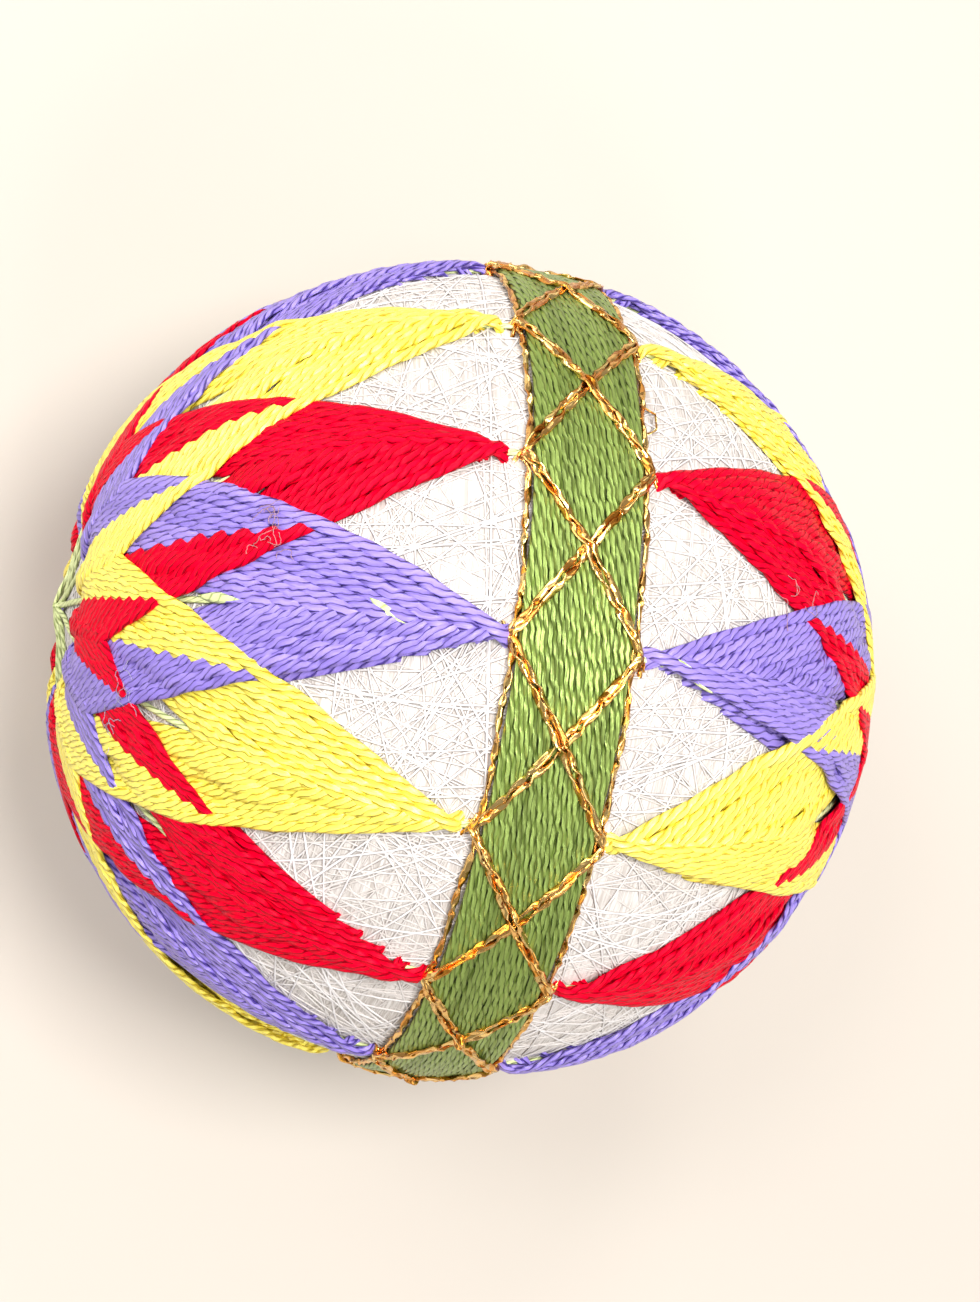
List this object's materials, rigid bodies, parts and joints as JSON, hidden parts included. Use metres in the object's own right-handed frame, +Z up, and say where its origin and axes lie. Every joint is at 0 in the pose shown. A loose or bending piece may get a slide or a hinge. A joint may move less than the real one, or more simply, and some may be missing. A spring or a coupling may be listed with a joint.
{
  "type": "temari ball",
  "caption": "Thread-wound decorative ball embroidered with interlaced pointed stars round each pole, and a wrapped band with a laced metallic lattice between them.",
  "frame": {"origin": "on the surface that the ball rests on, under the ball's centre", "axes": "+X along the axis through the two embroidered poles, the wrapped band round the ball in the YZ plane, +Z up from the flat spot"},
  "size_m": [0.0742, 0.0734, 0.0726],
  "materials": {
    "white_thread": "matt fine wrapping thread, ivory white",
    "green_thread": "glossy twisted embroidery thread, olive green",
    "gold_thread": "metallic foil thread, warm gold",
    "red_thread": "glossy twisted embroidery thread, crimson",
    "yellow_thread": "glossy twisted embroidery thread, lemon yellow",
    "purple_thread": "glossy twisted embroidery thread, lavender"
  },
  "bodies": {
    "root": {"wound_ball": "white_thread", "wrapped_band": "green_thread", "edge_cord_left": "gold_thread", "edge_cord_right": "gold_thread", "gold_lattice": "gold_thread", "red_star_left": "red_thread", "red_star_right": "red_thread", "yellow_star_left": "yellow_thread", "yellow_star_right": "yellow_thread", "purple_star_left": "purple_thread", "purple_star_right": "purple_thread"}
  },
  "joints": []
}
